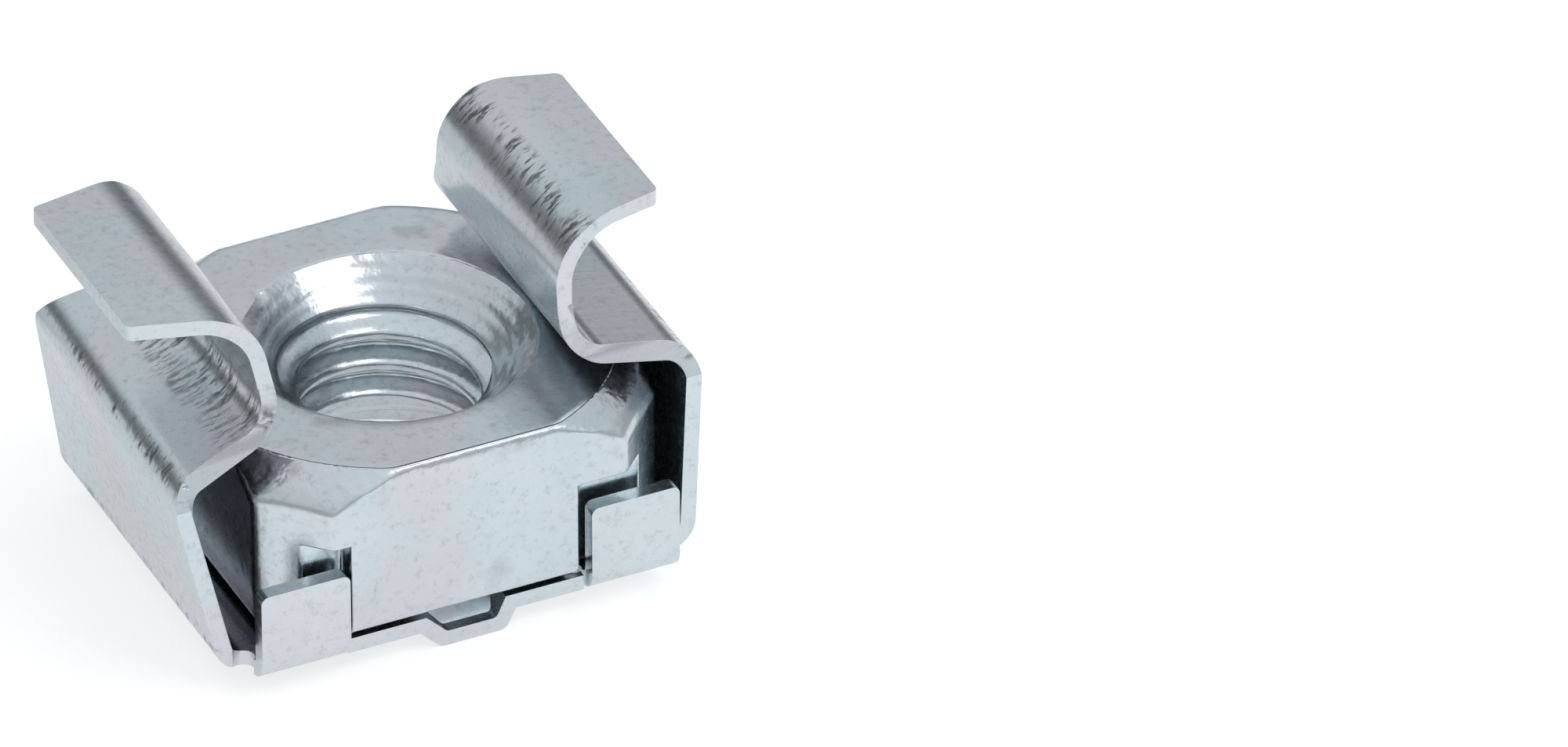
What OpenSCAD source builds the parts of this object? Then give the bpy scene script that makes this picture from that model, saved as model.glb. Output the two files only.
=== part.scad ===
// Rack cage nut for a 9.5 mm square panel hole, thread M6.
// Two loose pieces: a cage folded from one spring-steel blank, and the
// square nut that lies in it and can shift a little.
// Millimetres. Origin: centre of the bolt hole in the cage's base, on the
// base's underside. +X runs from the left arm to the right arm, +Y runs
// from the front tabs to the rear tabs, +Z points up towards the panel.
// Each arm is a path of straights and bends along the middle of the sheet.

/* [Sheet] */
// Thickness of the spring steel
sheet_t = 0.45; // [0.35:0.05:0.6]
// Half length of the base up to the bend of each side wall
base_half_x = 6.14; // [5.8:0.02:6.4]
// Half depth of the base at the free edge between two tabs
base_half_y = 5.71; // [5.4:0.01:6]
// Radius of the bolt hole in the base
hole_r = 4.03; // [3.6:0.01:4.3]
// Height of the pressed collar round the bolt hole, above the base
collar_h = 0.3; // [0.1:0.05:0.5]
// Width of the collar's flat rim
collar_w = 0.3; // [0.2:0.05:0.5]
// Rounding of the bolt hole's lower edge
collar_round = 0.28; // [0.1:0.02:0.4]

/* [Tabs] */
// Inner end of each tab, measured from the middle
tab_in = 3.51; // [3.2:0.01:4]
// Outer end of each tab
tab_out = 6.08; // [5.6:0.01:6.2]
// Outer face of the tabs, measured from the middle
tab_face_y = 6.08; // [5.8:0.01:6.4]
// Top of the tabs above the base's underside
tab_top = 2.78; // [2:0.05:3.5]
// Inside radius of the tab fold
tab_bend = 0.2; // [0.1:0.05:0.6]
// Rounding of the tab's top corners
tab_round = 0.22; // [0.05:0.01:0.5]
// Radius of the relief at the inner end of each fold
relief_r = 0.2; // [0.1:0.02:0.3]
// Width of the slit from that relief to the edge
slit_w = 0.08; // [0.05:0.01:0.3]
// Radius of the corner relief between a tab and a side wall
corner_relief_r = 0.3; // [0.2:0.02:0.5]

/* [Feet] */
// Depth of the pressed foot below the base
foot_depth = 0.6; // [0.3:0.05:0.9]
// Left half of the foot's hollow at its bottom
foot_left = 0.56; // [0.3:0.01:1]
// Right half of the foot's hollow at its bottom
foot_right = 0.87; // [0.3:0.01:1]
// Rounding of the foot's bottom edges
foot_round = 0.35; // [0.2:0.01:0.5]
// Slope of the foot's left flank
foot_left_slope = 45; // [35:1:80]
// Slope of the foot's right flank
foot_right_slope = 65; // [35:1:80]
// Length of the foot at full depth, from the free edge
foot_len = 0.35; // [0.2:0.05:0.8]
// Length over which the foot fades out
foot_fade = 0.75; // [0.5:0.05:1.1]

/* [Arms] */
// Outward lean of the left wall; the spring has been pushed to the left
left_lean = 12.9; // [0:0.1:16]
// Outward lean of the right wall
right_lean = 2.4; // [0:0.1:16]
// Rise of the left shoulder
left_rise = 17.7; // [5:0.1:25]
// Rise of the right shoulder
right_rise = 9.5; // [5:0.1:25]
// Outward lean of the left neck
left_neck = 10.9; // [0:0.1:15]
// Outward lean of the right neck
right_neck = 0.3; // [0:0.1:15]
// Straight length of the left lip
left_lip = 1.93; // [0.5:0.01:2.5]
// Straight length of the right lip
right_lip = 1.38; // [0.5:0.01:2.5]
// Slope of the left lip, rising outwards
left_tilt = 3; // [-6:0.1:10]
// Slope of the right lip, rising outwards
right_tilt = -2; // [-6:0.1:10]
// Mid-sheet radius of the bend from base to wall
wall_bend = 0.64; // [0.4:0.01:1]
// Straight height of the wall
wall_len = 4.57; // [3.6:0.01:5]
// Mid-sheet radius of the bend from wall to shoulder
top_bend = 0.75; // [0.5:0.01:1.2]
// Straight length of the shoulder
shoulder_len = 1.71; // [0.5:0.01:2]
// Mid-sheet radius of the bend from shoulder to neck
neck_bend = 1.1; // [0.7:0.01:1.8]
// Straight length of the neck
neck_len = 0.92; // [0.1:0.01:1.4]
// Mid-sheet radius of the bend from neck to lip
head_bend = 1.65; // [1:0.01:2.4]

/* [Arm outline] */
// Half width of the wall
wall_half = 5.1; // [4.6:0.02:5.4]
// How much narrower the arms are behind the middle than in front of it
rear_trim = 0.2; // [0:0.02:0.4]
// Half width where the shoulder turns into the neck
shoulder_half = 4.42; // [4:0.02:5]
// Half width at the narrowest turn of the neck
neck_half = 3.97; // [3.5:0.02:4.5]
// Half width at the top of the neck
head_half = 3.78; // [3.3:0.02:4.4]
// Half width at the tip of the lip
tip_half = 3.24; // [2.8:0.02:3.8]
// Rounding of the lip's corners
lip_round = 0.25; // [0.1:0.01:0.6]
// Height at which the wall starts to narrow
narrow_z = 5.45; // [5:0.05:6]
// Height of the shoulder's inner end
shoulder_z = 6.5; // [6:0.05:7]
// Height of the neck's narrowest turn
neck_z = 7.9; // [7:0.05:8.5]
// Height of the top of the neck
head_z = 9.9; // [9:0.05:10.5]

/* [Nut] */
// Size of the nut across its flats
nut_flats = 11.7; // [11:0.05:12.2]
// Height of the nut
nut_h = 4.9; // [4.5:0.05:5.2]
// Sideways rest position of the nut in the cage
nut_x = 0.3; // [-0.4:0.02:0.4]
// Fore-and-aft rest position of the nut in the cage
nut_y = -0.15; // [-0.2:0.02:0.2]
// Length cut off each vertical corner
nut_corner = 1.6; // [1:0.05:2]
// Radius over the vertical corners after tumbling
nut_corner_r = 7.3; // [7:0.01:7.6]
// Radius of the flat top
crown_r = 6.15; // [5.8:0.05:6.6]
// Slope of the crown at the corners
crown_slope = 39; // [25:1:50]
// Width of the rolled top edge, sideways
edge_in = 0.2; // [0.05:0.01:0.4]
// Depth of the rolled top edge
edge_down = 0.5; // [0.1:0.05:0.8]
// Chamfer of the nut's lower edge
foot_chamfer = 0.15; // [0.05:0.01:0.4]
// Width of the boss that stands between two tabs
boss_w = 6.6; // [6:0.05:7]
// Offset of the boss from the middle of the nut
boss_x = -0.43; // [-0.5:0.02:0.5]
// Depth of the step behind each tab
step_in = 0.65; // [0.5:0.05:1]
// Height of that step above the nut's underside
step_h = 2.88; // [2:0.02:4]

/* [Thread] */
// Core radius of the M6 thread
bore_r = 2.5; // [2.45:0.01:2.6]
// Radius of the upper countersink
csk_top_r = 4; // [3.2:0.05:4.4]
// Radius of the lower countersink
csk_low_r = 3.6; // [3.1:0.05:4]

/* [Colours] */
// Colour of the cage
cage_color = "#B9BEC4";
// Colour of the nut
nut_color = "#C3C2C6";

/* [Hidden] */
$fn = 72;
bend_facet = 6;
tab_mid_r = tab_bend + sheet_t / 2;
tab_fold_y = tab_face_y - sheet_t / 2 - tab_mid_r;
corner_x = base_half_x + 0.12;
corner_y = wall_half + 0.16;
relief_x = tab_in - slit_w - relief_r / 2;
relief_y = tab_fold_y - 0.12;
nut_half = nut_flats / 2;
nut_z = sheet_t + collar_h;
nut_top = nut_z + nut_h;
far = 12;

// ---------------------------------------------------------------- sheet path

// Stations [x, z, heading] along the middle of a bent sheet. Each step is
// [length] or [turn, radius]; a positive turn bends to the left.
function stations(steps, i = 0, x = 0, z = 0, a = 0) =
    i == len(steps) ? [[x, z, a]] :
    len(steps[i]) == 1 ?
        concat([[x, z, a]], stations(steps, i + 1, x + steps[i][0] * cos(a),
                                     z + steps[i][0] * sin(a), a)) :
    let (turn = steps[i][0], r = sign(turn) * steps[i][1],
         n = ceil(abs(turn) / bend_facet))
        concat([for (k = [0:n - 1]) let (b = a + turn * k / n)
                    [x + r * (sin(b) - sin(a)), z - r * (cos(b) - cos(a)), b]],
               stations(steps, i + 1, x + r * (sin(a + turn) - sin(a)),
                        z - r * (cos(a + turn) - cos(a)), a + turn));

// Sheet seen edge-on, starting at (0, 0) along +x.
module sheet_path(steps) {
    st = stations(steps);
    h = sheet_t / 2;
    polygon(concat([for (p = st) [p[0] - h * sin(p[2]), p[1] + h * cos(p[2])]],
        [for (i = [len(st) - 1:-1:0]) let (p = st[i])
            [p[0] + h * sin(p[2]), p[1] - h * cos(p[2])]]));
}

// Steps of one arm, from the base's end to the tip of the lip.
function arm_steps(lean, rise, neck, lip, tilt) = [
    [90 - lean, wall_bend], [wall_len],
    [90 + lean - rise, top_bend], [shoulder_len],
    [-(90 - rise + neck), neck_bend], [neck_len],
    [-(90 - neck - tilt), head_bend], [lip]];

// ---------------------------------------------------------------- arms

// Outline of an arm seen from the side, in y and z: straight wall, then
// narrower over the shoulder and the neck.
module arm_side_outline() {
    front = [[wall_half, -1], [wall_half, narrow_z], [shoulder_half, shoulder_z],
             [neck_half, neck_z], [head_half, head_z], [head_half, far]];
    rear = [for (p = front) p[1] > narrow_z ? [p[0] - rear_trim, p[1]] : p];
    polygon(concat([for (p = front) [-p[0], p[1]]],
                   [for (i = [len(rear) - 1:-1:0]) rear[i]]));
}

// Reach of the head bend's start from the end of the base.
function head_reach(lean, rise, neck) =
    wall_bend * sin(90 - lean) + wall_len * sin(lean)
    - top_bend * (cos(lean) - sin(rise)) - shoulder_len * cos(rise)
    - neck_bend * (cos(neck) - sin(rise)) + neck_len * sin(neck);

// Reach of the lip's tip from the start of the head bend.
function lip_reach(neck, lip, tilt) =
    head_bend * (cos(neck) - sin(tilt)) + lip * cos(tilt);

// Outline of an arm's upper part seen from above: it narrows from the head
// bend at root_x to the tip at tip_x, whose corners are round.
module lip_plan(root_x, tip_x) {
    r = lip_round;
    front = -tip_half;
    rear = tip_half - rear_trim;
    translate([0, -far]) square([root_x, 2 * far]);
    polygon([[root_x - 1, -neck_half], [root_x, -neck_half], [tip_x - r, front],
             [tip_x - r, rear], [root_x, neck_half - rear_trim],
             [root_x - 1, neck_half - rear_trim]]);
    translate([tip_x - 2 * r, front + r]) square([2 * r, rear - front - 2 * r]);
    for (y = [front + r, rear - r]) translate([tip_x - r, y]) circle(r);
}

// Right-hand arm standing at the end of the base.
module arm(lean, rise, neck, lip, tilt) {
    root_x = base_half_x + head_reach(lean, rise, neck);
    intersection() {
        translate([base_half_x, 0, sheet_t / 2]) rotate([90, 0, 0])
            linear_extrude(2 * wall_half, center = true)
                sheet_path(arm_steps(lean, rise, neck, lip, tilt));
        rotate([90, 0, 90]) linear_extrude(2 * far, center = true)
            arm_side_outline();
        union() {
            translate([0, -far, -1]) cube([far, 2 * far, neck_z + 1]);
            translate([0, 0, neck_z - 1]) linear_extrude(far)
                lip_plan(root_x, root_x + lip_reach(neck, lip, tilt));
        }
    }
}

// ---------------------------------------------------------------- base

// Plan of the base: free edges between the tabs, narrower at the walls.
module base_plan() {
    difference() {
        union() {
            square([2 * base_half_x, 2 * wall_half], center = true);
            square([2 * (tab_in - slit_w), 2 * base_half_y], center = true);
            for (s = [-1, 1]) translate([s * (tab_in + tab_out) / 2, 0])
                square([tab_out - tab_in, 2 * tab_fold_y], center = true);
        }
        circle(hole_r + collar_w);
    }
}

// Rim of the bolt hole: rounded below, raised to a flat collar above.
module collar() {
    rim_r = hole_r + collar_w;
    rotate_extrude() difference() {
        union() {
            translate([hole_r, 0]) square([collar_w, sheet_t + collar_h]);
            polygon([[rim_r, 0], [rim_r + collar_h / 2, 0],
                     [rim_r + collar_h / 2, sheet_t],
                     [rim_r, sheet_t + collar_h]]);
        }
        translate([hole_r, 0]) difference() {
            translate([-sheet_t, -sheet_t])
                square(sheet_t + collar_round);
            translate([collar_round, collar_round]) circle(collar_round);
        }
    }
}

// One flank of a foot's section: a round corner of radius r, then a slope.
function flank(half, slope, r, h) =
    concat([for (a = [0:slope / 4:slope])
               [half - r * tan(slope / 2) + r * sin(a), r * (1 - cos(a))]],
           [[half + h / tan(slope), h]]);

// Section across a pressed foot. Its flat bottom is at height 0, its flanks
// reach the height h, and it is wider than the hollow by the sheet's grow.
module foot_section(grow, r, h) {
    right = flank(foot_right + grow * tan(foot_right_slope / 2), foot_right_slope, r, h);
    left = flank(foot_left + grow * tan(foot_left_slope / 2), foot_left_slope, r, h);
    polygon(concat(right, [for (i = [len(left) - 1:-1:0]) [-left[i][0], left[i][1]]]));
}

// Length section of a foot: level keel of the length l, then fading out.
module foot_keel(l, h) {
    polygon([[1, 0], [1, h], [-l - h * foot_fade / foot_depth, h], [-l, 0]]);
}

// Solid that fills a foot up to the height h over its keel. Its keel is at
// z = 0 and the free edge of the base at y = 0.
module foot_fill(grow, r, l, h) {
    intersection() {
        rotate([90, 0, 0]) linear_extrude(2 * far, center = true)
            foot_section(grow, r, h);
        rotate([90, 0, 90]) linear_extrude(2 * far, center = true)
            foot_keel(l, h + 1);
    }
}

// Hollow pressed into the sheet over a foot.
module foot_hollow() {
    translate([0, 0, sheet_t - foot_depth])
        foot_fill(0, foot_round / 2, foot_len, 2 * foot_depth);
}

// Foot below the sheet, flush with the free edge of the base.
module foot() {
    fade_turn = atan(foot_depth / foot_fade) / 2;
    difference() {
        intersection() {
            translate([0, 0, -foot_depth])
                foot_fill(sheet_t, foot_round,
                          foot_len + sheet_t * tan(fade_turn), 2 * foot_depth);
            translate([-far / 2, -far / 4, -1]) cube([far, far / 4, 1 + sheet_t / 2]);
        }
        foot_hollow();
    }
}

// Base with its raised rim, feet and reliefs, still without the folds.
module base() {
    difference() {
        union() {
            linear_extrude(sheet_t) base_plan();
            collar();
        }
        for (s = [0, 1]) mirror([0, s, 0]) translate([0, base_half_y, 0])
            foot_hollow();
    }
    for (s = [0, 1]) mirror([0, s, 0]) translate([0, base_half_y, 0]) foot();
}

// Tab folded up from the base at the rear right corner.
module tab() {
    intersection() {
        translate([tab_in, tab_fold_y, sheet_t / 2]) rotate([90, 0, 90])
            linear_extrude(tab_out - tab_in)
                sheet_path([[90, tab_mid_r], [tab_top - tab_mid_r - sheet_t / 2]]);
        rotate([90, 0, 0]) linear_extrude(2 * far, center = true) {
            translate([tab_in, -1]) square([tab_out - tab_in, 1 + tab_top - tab_round]);
            translate([tab_in + tab_round, -1])
                square([tab_out - tab_in - 2 * tab_round, 1 + tab_top]);
            for (x = [tab_in + tab_round, tab_out - tab_round])
                translate([x, tab_top - tab_round]) circle(tab_round);
        }
    }
}

// Holes and slits that let the folds of one quarter bend freely.
module reliefs() {
    translate([0, 0, -1]) linear_extrude(2) {
        translate([relief_x, relief_y]) circle(relief_r);
        translate([tab_in - slit_w, relief_y]) square([slit_w, 1]);
        translate([corner_x, corner_y]) circle(corner_relief_r);
    }
}

module cage() {
    color(cage_color) difference() {
        union() {
            base();
            arm(right_lean, right_rise, right_neck, right_lip, right_tilt);
            mirror([1, 0, 0])
                arm(left_lean, left_rise, left_neck, left_lip, left_tilt);
            for (sx = [0, 1], sy = [0, 1]) mirror([sx, 0, 0]) mirror([0, sy, 0]) tab();
        }
        for (sx = [0, 1], sy = [0, 1]) mirror([sx, 0, 0]) mirror([0, sy, 0]) reliefs();
    }
}

// ---------------------------------------------------------------- nut

// Nut seen from one side, with rolled upper edges and chamfered lower ones.
module nut_side() {
    k = foot_chamfer;
    polygon([[-nut_half + k, 0], [nut_half - k, 0], [nut_half, k],
             [nut_half, nut_h - edge_down],
             [nut_half - edge_in / 4, nut_h - edge_down / 2],
             [nut_half - edge_in, nut_h],
             [-nut_half + edge_in, nut_h],
             [-nut_half + edge_in / 4, nut_h - edge_down / 2],
             [-nut_half, nut_h - edge_down], [-nut_half, k]]);
}

// Square blank with its corners cut off, tumbled and crowned.
module nut_blank() {
    intersection() {
        rotate([90, 0, 0]) linear_extrude(2 * far, center = true) nut_side();
        rotate([90, 0, 90]) linear_extrude(2 * far, center = true) nut_side();
        linear_extrude(nut_h) rotate(45)
            square(sqrt(2) * (nut_flats - nut_corner), center = true);
        rotate_extrude() polygon([[0, -1], [nut_corner_r, -1],
            [nut_corner_r, nut_h - (nut_corner_r - crown_r) * tan(crown_slope)],
            [crown_r, nut_h], [0, nut_h]]);
    }
}

// Threaded bore with a countersink at both ends.
module nut_bore() {
    translate([0, 0, -1]) cylinder(h = nut_h + 2, r = bore_r);
    translate([0, 0, nut_h]) rotate_extrude()
        polygon([[0, 1], [csk_top_r + 1, 1], [bore_r - 1, bore_r - 1 - csk_top_r],
                 [0, bore_r - 1 - csk_top_r]]);
    rotate_extrude()
        polygon([[0, -1], [csk_low_r + 1, -1], [bore_r - 1, csk_low_r - bore_r + 1],
                 [0, csk_low_r - bore_r + 1]]);
}

// Steps behind the four tabs; a boss is left standing between each pair.
module nut_steps() {
    for (sy = [-1, 1], sx = [-1, 1])
        translate([boss_x + sx * (boss_w + far) / 2,
                   sy * (nut_half - step_in + far / 2), step_h - far / 2])
            cube([far, far, far], center = true);
}

module nut() {
    color(nut_color) translate([nut_x, nut_y, nut_z]) difference() {
        nut_blank();
        nut_bore();
        nut_steps();
    }
}

// ---------------------------------------------------------------- pieces

cage();
nut();
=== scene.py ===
"""Rack cage nut: a folded spring-steel cage and the square M6 nut inside it.

All lengths are metres unless a name ends in _mm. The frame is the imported
model's: the bolt hole of the cage's base is at the origin, +Z points to the
panel, +X from the flared left arm to the upright right arm.
"""

from __future__ import annotations

import logging
import math
from dataclasses import dataclass, field
from enum import Enum

import bmesh
import bpy
import numpy as np
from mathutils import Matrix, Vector


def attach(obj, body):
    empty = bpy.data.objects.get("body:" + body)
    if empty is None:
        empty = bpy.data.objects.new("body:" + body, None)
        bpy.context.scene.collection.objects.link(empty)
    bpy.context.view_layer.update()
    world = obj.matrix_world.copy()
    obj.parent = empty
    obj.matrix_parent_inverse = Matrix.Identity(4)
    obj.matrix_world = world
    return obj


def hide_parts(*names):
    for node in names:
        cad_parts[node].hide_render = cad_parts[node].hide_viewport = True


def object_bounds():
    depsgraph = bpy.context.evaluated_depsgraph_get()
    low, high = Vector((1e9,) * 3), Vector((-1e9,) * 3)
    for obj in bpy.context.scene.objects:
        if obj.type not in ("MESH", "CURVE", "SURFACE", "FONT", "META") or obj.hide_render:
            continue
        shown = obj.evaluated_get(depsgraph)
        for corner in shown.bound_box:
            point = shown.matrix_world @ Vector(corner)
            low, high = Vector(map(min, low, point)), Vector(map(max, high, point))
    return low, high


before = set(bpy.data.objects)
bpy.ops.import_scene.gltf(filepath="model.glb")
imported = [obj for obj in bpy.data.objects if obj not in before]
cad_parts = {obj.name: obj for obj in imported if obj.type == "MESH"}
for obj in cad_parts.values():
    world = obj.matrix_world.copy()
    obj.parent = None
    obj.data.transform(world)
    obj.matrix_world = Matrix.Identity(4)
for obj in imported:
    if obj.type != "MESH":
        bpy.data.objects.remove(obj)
CAD_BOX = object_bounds()
LOG = logging.getLogger("cage_nut")
MM = 0.001


# --------------------------------------------------------------------- shader


class Socket:
    """A node's output, with operators that add Math nodes."""

    def __init__(self, tree: "Tree", output: bpy.types.NodeSocket) -> None:
        """Keep the node tree and the output that later nodes read.

        Args:
            tree: Tree that the output belongs to.
            output: Output socket of a node.
        """
        self.tree = tree
        self.output = output

    def _math(self, operation: str, a: object, b: object) -> "Socket":
        """Return a Math node's value for two inputs."""
        return self.tree.node("ShaderNodeMath", {"operation": operation}, {0: a, 1: b})

    def __add__(self, other: object) -> "Socket":
        """Return self + other."""
        return self._math("ADD", self, other)

    __radd__ = __add__

    def __sub__(self, other: object) -> "Socket":
        """Return self - other."""
        return self._math("SUBTRACT", self, other)

    def __rsub__(self, other: object) -> "Socket":
        """Return other - self."""
        return self._math("SUBTRACT", other, self)

    def __mul__(self, other: object) -> "Socket":
        """Return self * other."""
        return self._math("MULTIPLY", self, other)

    __rmul__ = __mul__

    def power(self, exponent: float) -> "Socket":
        """Return self raised to an exponent."""
        return self._math("POWER", self, exponent)

    def at_least(self, floor: object) -> "Socket":
        """Return the larger of self and floor."""
        return self._math("MAXIMUM", self, floor)

    def at_most(self, ceiling: object) -> "Socket":
        """Return the smaller of self and ceiling."""
        return self._math("MINIMUM", self, ceiling)

    def magnitude(self) -> "Socket":
        """Return self without its sign."""
        return self._math("ABSOLUTE", self, 0.0)

    def ramp(self, low: float, high: float) -> "Socket":
        """Return a smooth step from 0 at low to 1 at high.

        Args:
            low: Value where the step starts.
            high: Value where the step ends; it may be below low.

        Returns:
            The step, between 0 and 1.
        """
        if high < low:
            return 1.0 - self.ramp(high, low)
        return self.tree.node(
            "ShaderNodeMapRange",
            {"interpolation_type": "SMOOTHSTEP"},
            {"Value": self, "From Min": low, "From Max": high},
        )


class Tree:
    """A material's or the world's node tree."""

    def __init__(self, nodes: bpy.types.NodeTree) -> None:
        """Empty the tree that later calls fill.

        Args:
            nodes: Node tree of a material or a world.
        """
        self.nodes = nodes
        nodes.nodes.clear()

    def node(
        self,
        kind: str,
        settings: dict[str, object] | None = None,
        inputs: dict[object, object] | None = None,
        output: int | str = 0,
    ) -> Socket:
        """Add one node.

        Args:
            kind: Node type, such as ShaderNodeMath.
            settings: Attributes of the node, set first.
            inputs: Values, or Sockets to link, by socket name or number.
            output: Name or number of the output to return.

        Returns:
            The chosen output of the new node.
        """
        made = self.nodes.nodes.new(kind)
        for name, value in (settings or {}).items():
            setattr(made, name, value)
        for name, value in (inputs or {}).items():
            if isinstance(value, Socket):
                self.nodes.links.new(value.output, made.inputs[name])
            elif isinstance(value, tuple) and len(value) == 3:
                kind_of = made.inputs[name].type
                made.inputs[name].default_value = (*value, 1.0) if kind_of == "RGBA" else value
            else:
                made.inputs[name].default_value = value
        if not made.outputs:
            return Socket(self, None)
        return Socket(self, made.outputs[output])

    def place(self) -> Socket:
        """Return the Object coordinates, in metres."""
        return self.node("ShaderNodeTexCoord", output="Object")

    def axes(self, vector: Socket) -> tuple[Socket, Socket, Socket]:
        """Split a vector.

        Args:
            vector: Vector to split.

        Returns:
            Its three components.
        """
        split = self.node("ShaderNodeSeparateXYZ", inputs={0: vector})
        return tuple(Socket(self, output) for output in split.output.node.outputs)

    def light_path(self, *names: str) -> tuple[Socket, ...]:
        """Return the named outputs of one Light Path node."""
        path = self.node("ShaderNodeLightPath").output.node
        return tuple(Socket(self, path.outputs[name]) for name in names)

    def stretched(self, vector: Socket, scale: tuple[float, float, float]) -> Socket:
        """Return a vector multiplied by a scale for each axis."""
        return self.node("ShaderNodeVectorMath", {"operation": "MULTIPLY"}, {0: vector, 1: scale})

    def noise(
        self, vector: Socket, scale: float, detail: float = 3.0, rough: float = 0.55
    ) -> Socket:
        """Return a noise value between 0 and 1.

        Args:
            vector: Where the noise is read.
            scale: Lumps in each unit of the vector.
            detail: Number of finer octaves.
            rough: Strength of each finer octave.

        Returns:
            The noise.
        """
        return self.node(
            "ShaderNodeTexNoise",
            inputs={"Vector": vector, "Scale": scale, "Detail": detail, "Roughness": rough},
        )

    def mixed(self, factor: Socket, first: object, second: object) -> Socket:
        """Return a colour between two colours.

        Args:
            factor: 0 gives the first colour and 1 the second.
            first: Colour or Socket.
            second: Colour or Socket.

        Returns:
            The mixed colour.
        """
        return self.node(
            "ShaderNodeMix", {"data_type": "RGBA"}, {0: factor, 6: first, 7: second}, output=2
        )

    def bump(self, height: Socket, distance: float, strength: float = 1.0) -> Socket:
        """Return a normal bent by a height.

        Args:
            height: Relief, between 0 and 1.
            distance: Height of a relief of 1, in metres.
            strength: Share of the effect.

        Returns:
            The bent normal.
        """
        return self.node(
            "ShaderNodeBump", inputs={"Height": height, "Distance": distance, "Strength": strength}
        )

    def surface(self, shader: Socket) -> None:
        """Connect a shader to the material's surface."""
        self.node("ShaderNodeOutputMaterial", inputs={"Surface": shader})


class Relief(Enum):
    """How the steel was worked, which sets the grain of its plating."""

    ROLLED = "rolled"
    TUMBLED = "tumbled"


@dataclass(frozen=True)
class Fold:
    """Line along Y where the bending tool has scored the sheet."""

    x_mm: float
    z_mm: float
    reach_mm: float
    strength: float


FOLDS = (
    Fold(4.15, 9.95, 0.75, 0.9),
    Fold(5.6, 7.1, 0.5, 0.75),
    Fold(-7.75, 5.95, 0.35, 0.85),
    Fold(-5.25, 7.0, 0.75, 0.8),
    Fold(-6.1, 6.7, 0.5, 0.6),
    Fold(6.95, 6.05, 0.3, 0.6),
    Fold(-7.0, 0.6, 0.3, 0.5),
)
LEFT_LEAN = math.tan(math.radians(12.9))
RIGHT_LEAN = math.tan(math.radians(2.4))
WALL_FOOT_MM = 6.55
WALL_BASE_MM = 0.6
NUT_CENTRE_MM = (0.3, -0.15, 0.75)


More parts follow.
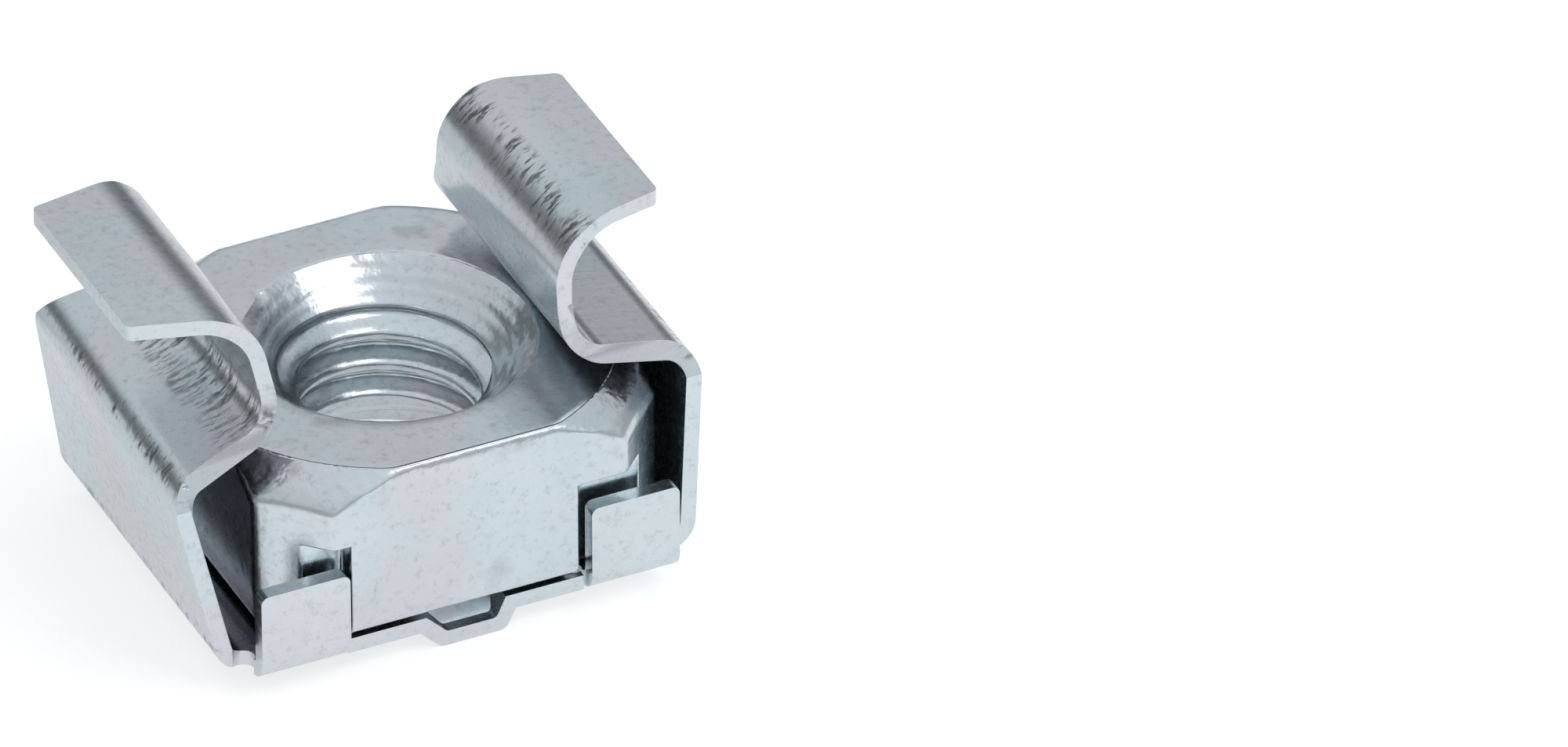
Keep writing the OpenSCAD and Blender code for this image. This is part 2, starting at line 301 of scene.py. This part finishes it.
@dataclass(frozen=True)
class ZincPlate:
    """Bright zinc plating over steel. Noise scales are lumps in a metre."""

    name: str
    relief: Relief
    colour: tuple[float, float, float]
    tint: tuple[float, float, float]
    roughness: float
    warm_film: tuple[float, float, float] = (0.70, 0.65, 0.70)
    cool_film: tuple[float, float, float] = (0.60, 0.72, 0.75)
    # Colour of the dark specks, and of the painted shade between the cage's walls.
    speck_and_shade: tuple[float, float, float] = (0.17, 0.17, 0.2)
    scored: tuple[float, float, float] = (0.12, 0.10, 0.11)
    pitted: tuple[float, float, float] = (0.34, 0.35, 0.37)
    film_share: float = 0.4
    speck_share: float = 0.26
    # Share of the painted shade that darkens the cage between its walls.
    painted_shade_share: float = 0.75
    pit_share: float = 0.35
    cloud_scale: float = 260.0
    fine_scale: float = 4200.0
    film_scale: float = 210.0
    wave_scale: float = 330.0
    dent_scale: float = 1300.0
    pit_scale: float = 620.0
    knock_scale: float = 2300.0
    rolled_scale: tuple[float, float, float] = (900.0, 5200.0, 900.0)
    stroke_scale: tuple[float, float, float] = (1500.0, 6500.0, 1500.0)
    rolled_depth: float = 0.000012
    tumbled_depth: float = 0.000016

    def material(self) -> bpy.types.Material:
        """Build the plating.

        Returns:
            A material whose grain, stains, scratches and, for rolled sheet, painted
            shade between the cage's walls follow Object coordinates.
        """
        made = bpy.data.materials.new(self.name)
        made.use_nodes = True
        tree = Tree(made.node_tree)
        place = tree.place()
        cloud = tree.noise(place, self.cloud_scale, 4.0)
        fine = tree.noise(place, self.fine_scale, 5.0, 0.7)
        hue = tree.noise(place, self.film_scale, 2.0)
        colour = tree.mixed(cloud.ramp(0.35, 0.7), self.colour, self.tint)
        film = tree.mixed(hue.ramp(0.4, 0.6), self.warm_film, self.cool_film)
        colour = tree.mixed(self.film_share, colour, film)
        colour = tree.mixed(fine.ramp(0.5, 0.75) * self.speck_share, colour, self.speck_and_shade)
        rough = fine.ramp(0.3, 0.75) * 0.12 + cloud * 0.1 + (self.roughness - 0.1)
        if self.relief is Relief.ROLLED:
            grain = tree.noise(tree.stretched(place, self.rolled_scale), 1.0, 4.0, 0.6)
            waves = tree.noise(place, self.wave_scale, 1.0)
            worn = self.burnish(tree, place)
            # Painted shade: the cage's faces between the walls are mixed toward the dark colour,
            # in place of their dark reflections.
            painted_shade = self.painted_shade_zone(tree, place) * self.painted_shade_share
            colour = tree.mixed(worn, tree.mixed(painted_shade, colour, self.speck_and_shade), self.scored)
            rough = rough + worn * 0.2
            height = grain * 0.25 + fine * 0.2 + waves * 0.55 - worn * 0.5
            depth = self.rolled_depth
        else:
            dents = tree.noise(place, self.dent_scale, 4.0, 0.6)
            pits = tree.noise(place, self.pit_scale, 2.0, 0.5).ramp(0.62, 0.74)
            knocks = tree.noise(place, self.knock_scale, 2.0) * self.knocked(tree, place)
            colour = tree.mixed(pits * self.pit_share, colour, self.pitted)
            height = dents * 0.6 + fine * 0.2 - pits * 0.35 + knocks * 1.8
            depth = self.tumbled_depth
        normal = tree.bump(height, depth)
        shader = tree.node(
            "ShaderNodeBsdfPrincipled",
            inputs={"Base Color": colour, "Metallic": 1.0, "Roughness": rough, "Normal": normal},
        )
        tree.surface(shader)
        return made

    def knocked(self, tree: Tree, place: Socket) -> Socket:
        """Return where tumbling and tapping have left small knocks.

        They lie on the nut's upper edges, by height, and in its bore, by
        distance from its axis.

        Args:
            tree: Tree that the nodes go to.
            place: Object coordinates.

        Returns:
            A mask between 0 and 1.
        """
        x, y, z = tree.axes(place)
        edge = z.ramp(4.9 * MM, 5.2 * MM) * z.ramp(5.64 * MM, 5.6 * MM)
        along = x - NUT_CENTRE_MM[0] * MM
        across = y - NUT_CENTRE_MM[1] * MM
        radius = (along * along + across * across).power(0.5)
        return edge.at_least(radius.ramp(3.5 * MM, 3.2 * MM) * 0.5)

    def painted_shade_zone(self, tree: Tree, place: Socket) -> Socket:
        """Return where painted shade darkens the cage, in the corners between the walls.

        The zone lies between two lines in the XZ plane, x = foot + lean *
        (z - base), one beside each wall's inner face, and fades out over
        0.1 mm at them.

        Args:
            tree: Tree that the nodes go to.
            place: Object coordinates.

        Returns:
            A mask between 0 and 1.
        """
        x, y, z = tree.axes(place)
        height = z.ramp(0.4 * MM, 1.0 * MM) * z.ramp(5.9 * MM, 5.2 * MM)
        height = height * y.magnitude().ramp(5.5 * MM, 5.3 * MM)
        foot, inner = WALL_FOOT_MM * MM, (WALL_FOOT_MM - 0.1) * MM
        climb = z - WALL_BASE_MM * MM
        left = (x + climb * LEFT_LEAN).ramp(-foot, -inner)
        right = (x - climb * RIGHT_LEAN).ramp(foot, inner)
        return left * right * height

    def burnish(self, tree: Tree, place: Socket) -> Socket:
        """Return where the bending tool has scored the sheet.

        Each fold has a band of short strokes that run across it. A band is
        a distance in the XZ plane from a line along Y, and its strokes are
        noise that is fine along Y and coarse across it.

        Args:
            tree: Tree that the nodes go to.
            place: Object coordinates.

        Returns:
            A mask between 0 and 1.
        """
        x, _, z = tree.axes(place)
        strokes = tree.noise(tree.stretched(place, self.stroke_scale), 1.0, 3.0, 0.65)
        patches = tree.noise(place, 900.0, 3.0)
        hits = strokes.ramp(0.47, 0.6) * patches.ramp(0.34, 0.56)
        total: Socket | None = None
        for fold in FOLDS:
            along = x - fold.x_mm * MM
            above = z - fold.z_mm * MM
            away = (along * along + above * above).power(0.5)
            band = away.ramp(fold.reach_mm * MM, fold.reach_mm * MM * 0.45) * fold.strength
            total = band if total is None else total.at_least(band)
        return (hits * total).at_most(1.0)


# ----------------------------------------------------------------------- mesh

TINY = 1e-6
ALMOST_ONE = 0.999
FAR_MM = 12.0
RIM_WAVES = ((7, 0.4), (17, 2.1), (31, 1.3), (53, 4.0))
BURR_ANGLE = math.radians(125)
BURR_WIDTH = 0.05


def grid_mesh(name: str, points: np.ndarray, wrap_rows: bool = False) -> bpy.types.Mesh:
    """Make a mesh from a grid of points that closes along its columns.

    Args:
        name: Name of the mesh.
        points: Rows by columns by 3, in metres. The last column joins the
            first.
        wrap_rows: Whether the last row joins the first as well.

    Returns:
        The mesh, of four-sided faces that are shaded smooth.
    """
    rows, columns = points.shape[:2]
    index = np.arange(rows * columns).reshape(rows, columns)
    low = index if wrap_rows else index[:-1]
    high = np.roll(index, -1, axis=0) if wrap_rows else index[1:]
    corners = np.stack([low, np.roll(low, -1, 1), np.roll(high, -1, 1), high], axis=-1)
    corners = corners.reshape(-1, 4)
    mesh = bpy.data.meshes.new(name)
    mesh.vertices.add(rows * columns)
    mesh.vertices.foreach_set("co", points.reshape(-1).astype(np.float32))
    mesh.loops.add(corners.size)
    mesh.loops.foreach_set("vertex_index", corners.reshape(-1).astype(np.int32))
    mesh.polygons.add(len(corners))
    mesh.polygons.foreach_set("loop_start", np.arange(0, corners.size, 4, dtype=np.int32))
    mesh.polygons.foreach_set("use_smooth", np.ones(len(corners), dtype=bool))
    mesh.update(calc_edges=True)
    mesh.validate()
    return mesh


def smooth_min(values: np.ndarray, softness: float) -> np.ndarray:
    """Return a minimum along the first axis with rounded transitions.

    Args:
        values: Stack of arrays.
        softness: Width over which two nearly equal values blend.

    Returns:
        -softness * log(sum(exp(-values / softness))), shifted so that it
        can't overflow.
    """
    low = values.min(axis=0)
    total = np.exp(-(values - low) / softness).sum(axis=0)
    return low - softness * np.log(total)


@dataclass
class SquareNut:
    """Square nut with crowned top, stepped lower corners and an M6 thread.

    Lengths are in millimetres, from the centre of the nut's underside.
    """

    centre_mm: tuple[float, float, float] = NUT_CENTRE_MM
    half_mm: float = 5.85
    height_mm: float = 4.9
    corner_mm: float = 7.142
    crown_mm: float = 6.15
    crown_slope: float = 39.0
    edge_in_mm: float = 0.2
    edge_down_mm: float = 0.5
    foot_in_mm: float = 0.2
    foot_up_mm: float = 0.28
    blend_mm: float = 0.035
    boss_mm: tuple[float, float] = (-3.73, 2.87)
    step_in_mm: float = 0.65
    step_top_mm: float = 2.88
    core_mm: float = 2.47
    major_mm: float = 3.0
    pitch_mm: float = 1.0
    thread_start: float = 0.5
    thread_steepness: float = 1.55
    crest_width: float = 0.3
    flank_rounding: float = 0.4
    thread_blend_mm: float = 0.02
    csk_top_mm: float = 4.0
    csk_low_mm: float = 3.6
    csk_slope: float = 1.05
    csk_lip_mm: float = 0.06
    ring_mm: float = 0.008
    tear_mm: float = 0.025
    burr_mm: float = 0.12
    columns: int = 700
    finish: ZincPlate = field(
        default_factory=lambda: ZincPlate(
            "nut_zinc", Relief.TUMBLED, (0.59, 0.65, 0.67), (0.68, 0.72, 0.75), 0.22
        )
    )

    @staticmethod
    def quarter_round(share: np.ndarray) -> np.ndarray:
        """Return 1 - sqrt(1 - share^2), the drop of a quarter circle."""
        return 1 - np.sqrt(1 - share**2 * ALMOST_ONE)

    def outline(self, angle: np.ndarray, z: np.ndarray, stepped: bool) -> np.ndarray:
        """Return the outer radius at a height.

        The radius is the soft minimum of the distances, along the ray, to
        the flats across X and across Y, the corner planes and the crown
        cone. The flats roll in along a quarter ellipse at both edges. Where
        stepped, it is also limited by the step's faces and the boss's ends.

        Args:
            angle: Angle of each column.
            z: Height of each row, as a column vector.
            stepped: Whether the lower corners are cut back.

        Returns:
            Rows by columns of radii.
        """
        cos, sin = np.cos(angle)[None, :], np.sin(angle)[None, :]
        lift = np.clip((z - self.height_mm + self.edge_down_mm) / self.edge_down_mm, 0, 1)
        flat = self.half_mm - self.edge_in_mm * self.quarter_round(lift)
        foot = np.clip(1 - z / self.foot_up_mm, 0, 1)
        foot_in = self.foot_in_mm * self.quarter_round(foot)
        flat = flat - foot_in
        x_dist = flat / np.maximum(np.abs(cos), TINY)
        y_dist = flat / np.maximum(np.abs(sin), TINY)
        quarter = (angle % (np.pi / 2)) - np.pi / 4
        corner = (self.corner_mm - foot_in) / np.cos(quarter)[None, :]
        cone = self.crown_mm + (self.height_mm - z) / math.tan(math.radians(self.crown_slope))
        shape = np.broadcast_shapes(x_dist.shape, corner.shape, cone.shape)
        planes = [np.broadcast_to(v, shape) for v in (x_dist, y_dist, corner, cone)]
        radius = smooth_min(np.minimum(np.stack(planes), FAR_MM), self.blend_mm)
        if stepped:
            left, right = self.boss_mm
            reach = (self.half_mm - self.step_in_mm) / np.maximum(np.abs(sin), TINY)
            x_hit = reach * cos
            outside = (x_hit > right) | (x_hit < left)
            wall = np.where(cos > 0, right, left) / np.where(np.abs(cos) < TINY, TINY, cos)
            limit = np.where(outside, reach, np.where(wall > 0, wall, FAR_MM))
            radius = np.minimum(radius, limit)
        return radius

    def thread(self, angle: np.ndarray, z: np.ndarray) -> np.ndarray:
        """Return the bore's radius, with the thread and both countersinks.

        The thread's section is a trapezoid wave in z / pitch - angle / turn,
        with flat crests at the core radius, flat roots at the major radius
        and slightly rounded flanks. The bore is the larger of that and the
        two cones. The upper cone has a torn rim and faint turning rings.

        Args:
            angle: Angle of each column.
            z: Height of each row, as a column vector.

        Returns:
            Rows by columns of radii.
        """
        turn = angle[None, :] / (2 * np.pi)
        phase = (z / self.pitch_mm - turn - self.thread_start) % 1.0
        from_crest = np.abs(phase - 0.5) * 2
        wave = np.clip(from_crest * self.thread_steepness - self.crest_width, 0, 1)
        rounded = wave * wave * (3 - 2 * wave)
        wave = rounded * self.flank_rounding + wave * (1 - self.flank_rounding)
        groove = self.core_mm + (self.major_mm - self.core_mm) * wave
        depth = self.height_mm - z
        torn = self.ragged(angle) * np.clip(1 - depth / 0.25, 0, 1)
        rings = np.sin(depth * 23.0 + np.sin(angle)) * np.clip(depth / 0.2, 0, 1)
        top = self.csk_top_mm + torn + self.ring_mm * rings - depth * self.csk_slope
        cones = np.broadcast_to(np.maximum(top, self.csk_low_mm - z), groove.shape)
        return -smooth_min(np.stack([-groove, -cones]), self.thread_blend_mm)

    def ragged(self, angle: np.ndarray) -> np.ndarray:
        """Return how far the drill has torn the countersink's rim outwards.

        It is a sum of four sines round the rim, and a bell-shaped burr at
        BURR_ANGLE.

        Args:
            angle: Angle of each column.

        Returns:
            Shift of the rim at each column.
        """
        waves = sum(
            np.sin(turns * angle + shift) / (k + 2.0)
            for k, (turns, shift) in enumerate(RIM_WAVES)
        )
        burr = np.exp(-(((angle - BURR_ANGLE) / BURR_WIDTH) ** 2))
        return self.tear_mm * waves + self.burr_mm * burr

    def points(self) -> np.ndarray:
        """Return the closed surface as a grid.

        A row goes round the nut. The rows run from the lower countersink
        out along the underside, up the side with its step, in over the
        crown and down the bore.

        Returns:
            Rows by columns by 3, in metres.
        """
        angle = np.linspace(0, 2 * np.pi, self.columns, endpoint=False)
        height, step = self.height_mm, self.step_top_mm
        radii: list[np.ndarray] = []
        levels: list[np.ndarray] = []

        def add(radius: np.ndarray, level: np.ndarray) -> None:
            """Append rows of radii and their heights."""
            radii.append(radius)
            levels.append(np.broadcast_to(level, radius.shape))

        rim = self.outline(angle, np.array([[0.0]]), True)
        share = np.linspace(0, 1, 5)[1:-1, None]
        add(self.csk_low_mm + (rim - self.csk_low_mm) * share, np.zeros((3, 1)))
        rounding = [0, 0.01, 0.03, 0.07, 0.13, 0.2, self.foot_up_mm]
        low = np.concatenate([rounding, np.linspace(0.5, step - 0.05, 5), [step - 0.02]])
        add(self.outline(angle, low[:, None], True), low[:, None])
        rolled = height - self.edge_down_mm * np.linspace(1, 0, 15)[1:-1] ** 1.6
        flat = np.linspace(step + 0.1, height - self.edge_down_mm, 8)
        upper = np.concatenate([[step, step + 0.03], flat, rolled, [height - 0.008]])
        add(self.outline(angle, upper[:, None], False), upper[:, None])
        rim = self.outline(angle, np.array([[height]]), False) - 0.02
        share = np.linspace(0, 1, 7)[:, None] ** 1.3
        inner = self.csk_top_mm + self.csk_lip_mm + self.ragged(angle)
        add(rim + (inner - rim) * share, np.full((7, 1), height))
        cone = height - np.concatenate([[0.02, 0.06], np.linspace(0.12, 0.8, 12)])
        turns = np.linspace(height - 0.85, 0.45, 58)
        bore = np.concatenate([cone, turns, [0.3, 0.15, 0.05, 0.0]])[:, None]
        add(self.thread(angle, bore), bore)
        r = np.concatenate(radii)
        z = np.concatenate(levels)
        x, y, up = self.centre_mm
        grid = np.stack([x + r * np.cos(angle), y + r * np.sin(angle), up + z], axis=-1)
        return grid * MM

    def build(self) -> bpy.types.Object:
        """Make the nut and put it in the CAD nut's place.

        Returns:
            The nut.
        """
        mesh = grid_mesh("square_nut", self.points(), wrap_rows=True)
        piece = bpy.data.objects.new("square_nut", mesh)
        bpy.context.scene.collection.objects.link(piece)
        mesh.materials.append(self.finish.material())
        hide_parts("nut")
        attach(piece, "root")
        return piece


@dataclass
class SpringCage:
    """Cage folded from one sheet, with softened sheared edges."""

    edge_mm: float = 0.11
    edge_angle: float = 32.0
    sharp_angle: float = 35.0
    merge_m: float = 2e-6
    flat_angle: float = 0.5
    twist_mm: float = 0.42
    finish: ZincPlate = field(
        default_factory=lambda: ZincPlate(
            "cage_zinc", Relief.ROLLED, (0.63, 0.69, 0.71), (0.71, 0.73, 0.75), 0.24
        )
    )

    def twist(self, mesh: bpy.types.Mesh) -> None:
        """Turn the rear of the left wall back towards the nut.

        The shift along X grows in proportion to the height above the base,
        to the distance behind the middle and, over the shoulder, to the
        distance from the neck.

        Args:
            mesh: Mesh to bend in place.
        """
        flat = np.empty(len(mesh.vertices) * 3, dtype=np.float32)
        mesh.vertices.foreach_get("co", flat)
        corners = flat.reshape(-1, 3)
        x, y, z = corners.T / MM
        rise = np.clip((z - 0.9) / 4.6, 0.0, 1.0) * (z < 7.4)
        out = np.clip((-5.6 - x) / 1.6, 0.0, 1.0)
        behind = np.clip((y + 1.0) / 6.1, 0.0, 1.0)
        shift = np.where(z < 5.4, rise, rise * out) * behind * self.twist_mm
        corners[:, 0] += np.where(x < -6.0 + 0.5 * (z > 5.4), shift, 0.0) * MM
        mesh.vertices.foreach_set("co", flat)
        mesh.update()

    def build(self) -> bpy.types.Object:
        """Make the cage from the solid and break its edges.

        Returns:
            The cage.
        """
        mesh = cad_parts["cage"].data.copy()
        mesh.name = "spring_cage"
        piece = bpy.data.objects.new("spring_cage", mesh)
        bpy.context.scene.collection.objects.link(piece)
        mesh.materials.clear()
        mesh.materials.append(self.finish.material())
        work = bmesh.new()
        work.from_mesh(mesh)
        bmesh.ops.remove_doubles(work, verts=work.verts, dist=self.merge_m)
        flat = math.radians(self.flat_angle)
        bmesh.ops.dissolve_limit(work, angle_limit=flat, verts=work.verts, edges=work.edges)
        work.to_mesh(mesh)
        work.free()
        self.twist(mesh)
        bevel = piece.modifiers.new("edges", "BEVEL")
        bevel.limit_method = "ANGLE"
        bevel.angle_limit = math.radians(self.edge_angle)
        bevel.width = self.edge_mm * MM
        bevel.segments = 3
        mesh.polygons.foreach_set("use_smooth", np.ones(len(mesh.polygons), dtype=bool))
        mesh.set_sharp_from_angle(angle=math.radians(self.sharp_angle))
        weighted = piece.modifiers.new("normals", "WEIGHTED_NORMAL")
        weighted.keep_sharp = True
        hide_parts("cage")
        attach(piece, "root")
        return piece


@dataclass
class Studio:
    """White floor, one soft lamp and a long lens."""

    azimuth: float = -25.4
    elevation: float = 34.64
    lens_mm: float = 450.0
    sensor_mm: float = 36.0
    stand_off_m: float = 0.003
    cells_per_mm: float = 48.0
    image: tuple[int, int] = (2000, 953)
    origin_at: tuple[float, float] = (478.6, 650.9)
    floor_side_m: float = 0.6
    floor_gap_m: float = 0.00002
    floor_glow: float = 0.62
    floor_colour: tuple[float, float, float] = (0.55, 0.55, 0.56)
    sky_colour: tuple[float, float, float] = (0.92, 0.97, 1.0)
    sky_level: float = 0.73
    key_at: tuple[float, float, float] = (0.10, -0.14, 0.24)
    key_size: float = 0.15
    key_watts: float = 0.18

    def camera(self) -> bpy.types.Object:
        """Aim a long lens that moves sideways without turning.

        The base's centre then lies at origin_at, in cells of the image from
        its upper left corner.

        Returns:
            The camera.
        """
        a, e = math.radians(self.azimuth), math.radians(self.elevation)
        back = Vector((math.sin(a) * math.cos(e), -math.cos(a) * math.cos(e), math.sin(e)))
        right = Vector((math.cos(a), math.sin(a), 0.0))
        up = back.cross(right)
        offset_x = (self.image[0] / 2 - self.origin_at[0]) / self.cells_per_mm * MM
        offset_y = (self.origin_at[1] - self.image[1] / 2) / self.cells_per_mm * MM
        width = self.image[0] / self.cells_per_mm * MM
        distance = width * self.lens_mm / self.sensor_mm + self.stand_off_m
        data = bpy.data.cameras.new("view")
        data.sensor_width = self.sensor_mm
        data.lens = self.lens_mm
        data.clip_start, data.clip_end = 0.05, 5.0
        camera = bpy.data.objects.new("view", data)
        bpy.context.scene.collection.objects.link(camera)
        camera.location = back * distance + (right * offset_x + up * offset_y)
        camera.rotation_mode = "QUATERNION"
        camera.rotation_quaternion = (-back).to_track_quat("-Z", "Y")
        bpy.context.scene.camera = camera
        return camera

    def floor(self) -> bpy.types.Object:
        """Lay the floor under the lowest point of the cage's feet.

        It glows for the camera and for reflections, so that it looks white
        and keeps the shadow. Reflections of its far left part are dimmer.

        Returns:
            The floor.
        """
        level = CAD_BOX[0].z - self.floor_gap_m
        side = self.floor_side_m
        corners = ((-side, -side), (side, -side), (side, side), (-side, side))
        mesh = bpy.data.meshes.new("floor")
        mesh.from_pydata([(x, y, level) for x, y in corners], [], [(0, 1, 2, 3)])
        piece = bpy.data.objects.new("floor", mesh)
        bpy.context.scene.collection.objects.link(piece)
        made = bpy.data.materials.new("floor")
        made.use_nodes = True
        tree = Tree(made.node_tree)
        path, glossy, through = tree.light_path(
            "Is Camera Ray", "Is Glossy Ray", "Is Transmission Ray"
        )
        x, y, _ = tree.axes(tree.place())
        far = (y * 0.8 - x * 0.6).ramp(-0.004, 0.03)
        seen = (path + glossy * (0.84 - far * 0.44) + through).at_most(1.0)
        diffuse = tree.node("ShaderNodeBsdfDiffuse", inputs={"Color": self.floor_colour})
        glow = tree.node(
            "ShaderNodeEmission",
            inputs={"Color": (1.0, 1.0, 1.0), "Strength": seen * self.floor_glow},
        )
        shader = tree.node("ShaderNodeAddShader", inputs={0: diffuse, 1: glow})
        tree.surface(shader)
        mesh.materials.append(made)
        return piece

    def lamp(self) -> bpy.types.Object:
        """Hang a square soft lamp that looks at the nut.

        Returns:
            The lamp.
        """
        data = bpy.data.lights.new("key", "AREA")
        data.shape = "SQUARE"
        data.size = self.key_size
        data.energy = self.key_watts
        lamp = bpy.data.objects.new("key", data)
        bpy.context.scene.collection.objects.link(lamp)
        lamp.location = self.key_at
        aim = Vector((0.0, 0.0, 0.005)) - Vector(self.key_at)
        lamp.rotation_mode = "QUATERNION"
        lamp.rotation_quaternion = aim.to_track_quat("-Z", "Y")
        return lamp

    def world(self) -> None:
        """Make a surround that is white to the camera and grey to the metal.

        Its level rises a little overhead and in front, and falls in a band
        low over the horizon, most of all at the back.
        """
        world = bpy.data.worlds.new("surround")
        bpy.context.scene.world = world
        world.use_nodes = True
        tree = Tree(world.node_tree)
        path, through = tree.light_path("Is Camera Ray", "Is Transmission Ray")
        seen = (path + through).at_most(1.0)
        x, y, z = tree.axes(tree.node("ShaderNodeTexCoord", output="Generated"))
        side = x * 0.35 - y * 0.94
        high = z.ramp(0.66, 0.95) * 0.15
        front = side.ramp(0.1, 0.9) * 0.08
        back = side.ramp(0.1, -0.5)
        band = (z - 0.17).magnitude().ramp(0.36, 0.08) * (back * 0.3 + 0.26)
        sky = high + front + self.sky_level - band
        strength = seen + (1.0 - seen) * sky
        colour = tree.mixed(seen, self.sky_colour, (1.0, 1.0, 1.0))
        glow = tree.node(
            "ShaderNodeBackground", inputs={"Color": colour, "Strength": strength}
        )
        tree.node("ShaderNodeOutputWorld", inputs={"Surface": glow})

    def build(self) -> None:
        """Set up the camera, the floor and the light."""
        self.camera()
        self.floor()
        self.world()
        self.lamp()
        bpy.context.scene.view_settings.view_transform = "Standard"


def report(piece: bpy.types.Object) -> None:
    """Log a piece's name and its number of faces."""
    LOG.info("%s: %d faces", piece.name, len(piece.data.polygons))


def main() -> None:
    """Build the nut, the cage and the studio, and log their face counts."""
    logging.basicConfig(level=logging.INFO, format="%(name)s: %(message)s")
    report(SquareNut().build())
    report(SpringCage().build())
    Studio().build()


if __name__ == "__main__":
    main()
